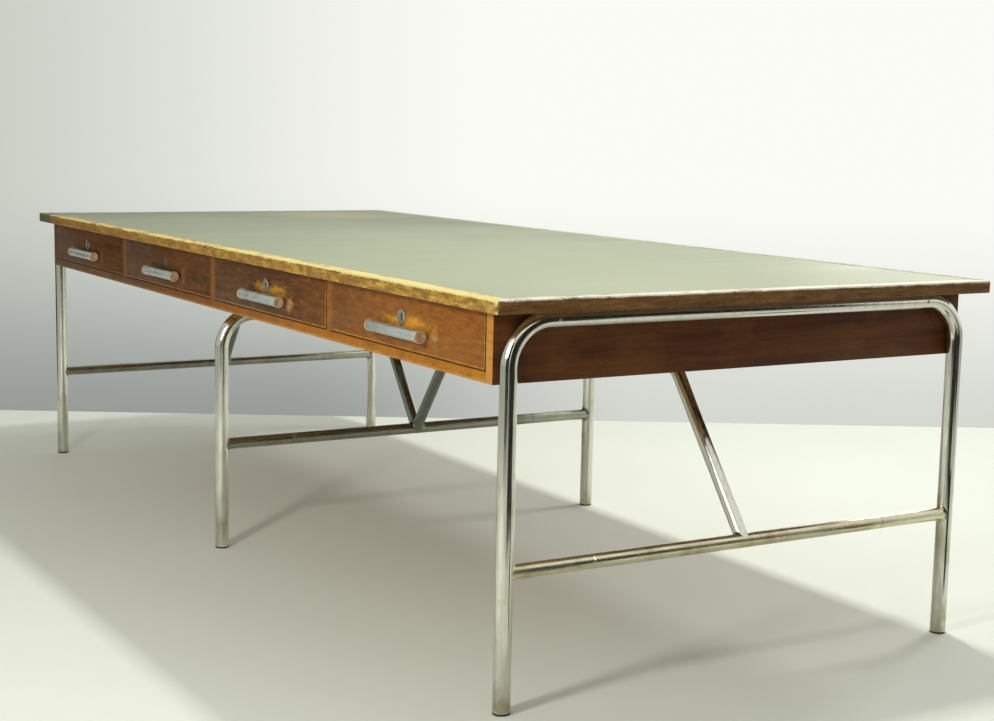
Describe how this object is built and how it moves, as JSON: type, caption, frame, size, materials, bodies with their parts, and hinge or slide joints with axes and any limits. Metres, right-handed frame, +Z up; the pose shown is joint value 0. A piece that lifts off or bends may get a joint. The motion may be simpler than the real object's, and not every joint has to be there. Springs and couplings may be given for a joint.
{
  "type": "writing desk",
  "caption": "Long writing desk with an inlaid linoleum top, a row of locking drawers with bar handles, and bent tube leg frames joined by stretchers and braces.",
  "frame": {"origin": "on the floor under the middle of the top", "axes": "+X along the drawer fronts, drawers open towards -Y, +Z up"},
  "size_m": [2.8, 1.2, 0.76],
  "materials": {
    "linoleum": "worn semi-matte",
    "board": "raw blockboard",
    "lipping_oak": "worn varnish",
    "front_oak": "gloss varnish",
    "panel_mahogany": "satin varnish",
    "drawer_wood": "raw",
    "tube_nickel": "worn nickel plate",
    "handle_metal": "satin",
    "lock_nickel": "worn nickel plate",
    "lock_brass": "aged",
    "steel": "dull",
    "foot_steel": "dull dark"
  },
  "bodies": {
    "desk": {"top_panel": "board", "linoleum_sheet": "linoleum", "lipping_front": "lipping_oak", "lipping_back": "lipping_oak", "lipping_left": "lipping_oak", "lipping_right": "lipping_oak", "end_panel_left": "panel_mahogany", "end_panel_right": "panel_mahogany", "back_apron": "panel_mahogany", "front_rail": "front_oak", "centre_beam": "board", "dividers": "front_oak", "rear_cross_rails": "board", "drawer_runners": "drawer_wood", "strike_plates": "steel", "u_tube_left": "tube_nickel", "u_tube_middle": "tube_nickel", "u_tube_right": "tube_nickel", "stretcher_left": "tube_nickel", "stretcher_middle": "tube_nickel", "stretcher_right": "tube_nickel", "brace_left": "tube_nickel", "brace_right": "tube_nickel", "stretcher_stubs": "tube_nickel", "foot_plugs": "foot_steel", "frame_screws": "steel"},
    "drawer_1": {"drawer_1_front": "front_oak", "drawer_1_sides": "drawer_wood", "drawer_1_back": "drawer_wood", "drawer_1_bottom": "drawer_wood", "drawer_1_handle": "handle_metal", "drawer_1_handle_plugs": "front_oak", "lock_1_case": "lock_nickel"},
    "drawer_2": {"drawer_2_front": "front_oak", "drawer_2_sides": "drawer_wood", "drawer_2_back": "drawer_wood", "drawer_2_bottom": "drawer_wood", "drawer_2_handle": "handle_metal", "drawer_2_handle_plugs": "front_oak", "drawer_2_hole_plug": "front_oak"},
    "drawer_3": {"drawer_3_front": "front_oak", "drawer_3_sides": "drawer_wood", "drawer_3_back": "drawer_wood", "drawer_3_bottom": "drawer_wood", "drawer_3_handle": "handle_metal", "drawer_3_handle_plugs": "front_oak", "lock_3_case": "lock_nickel"},
    "drawer_4": {"drawer_4_front": "front_oak", "drawer_4_sides": "drawer_wood", "drawer_4_back": "drawer_wood", "drawer_4_bottom": "drawer_wood", "drawer_4_handle": "handle_metal", "drawer_4_handle_plugs": "front_oak", "lock_4_case": "lock_nickel"},
    "lock_1_plug": {"lock_1_plug": "lock_brass"},
    "lock_1_bolt": {"lock_1_bolt": "steel"},
    "lock_3_plug": {"lock_3_plug": "lock_brass"},
    "lock_3_bolt": {"lock_3_bolt": "steel"},
    "lock_4_plug": {"lock_4_plug": "lock_brass"},
    "lock_4_bolt": {"lock_4_bolt": "steel"}
  },
  "joints": [
    {"name": "drawer_1_slide", "type": "slide", "parent": "desk", "child": "drawer_1", "axis": [0, -1, 0], "range_m": [0, 0.36]},
    {"name": "drawer_2_slide", "type": "slide", "parent": "desk", "child": "drawer_2", "axis": [0, -1, 0], "range_m": [0, 0.36]},
    {"name": "drawer_3_slide", "type": "slide", "parent": "desk", "child": "drawer_3", "axis": [0, -1, 0], "range_m": [0, 0.36]},
    {"name": "drawer_4_slide", "type": "slide", "parent": "desk", "child": "drawer_4", "axis": [0, -1, 0], "range_m": [0, 0.36]},
    {"name": "lock_1_turn", "type": "hinge", "parent": "drawer_1", "child": "lock_1_plug", "pos_m": [-0.993, -0.57, 0.687], "axis": [0, -1, 0], "range_deg": [0, 90]},
    {"name": "lock_1_throw", "type": "slide", "parent": "drawer_1", "child": "lock_1_bolt", "axis": [0, 0, 1], "range_m": [0, 0.008]},
    {"name": "lock_3_turn", "type": "hinge", "parent": "drawer_3", "child": "lock_3_plug", "pos_m": [0.331, -0.57, 0.687], "axis": [0, -1, 0], "range_deg": [0, 90]},
    {"name": "lock_3_throw", "type": "slide", "parent": "drawer_3", "child": "lock_3_bolt", "axis": [0, 0, 1], "range_m": [0, 0.008]},
    {"name": "lock_4_turn", "type": "hinge", "parent": "drawer_4", "child": "lock_4_plug", "pos_m": [0.993, -0.57, 0.687], "axis": [0, -1, 0], "range_deg": [0, 90]},
    {"name": "lock_4_throw", "type": "slide", "parent": "drawer_4", "child": "lock_4_bolt", "axis": [0, 0, 1], "range_m": [0, 0.008]}
  ],
  "couplings": [
    {"joint": "lock_1_turn", "follows": "lock_1_throw", "rad_per_m": 196.35},
    {"joint": "lock_3_turn", "follows": "lock_3_throw", "rad_per_m": 196.35},
    {"joint": "lock_4_turn", "follows": "lock_4_throw", "rad_per_m": 196.35}
  ]
}
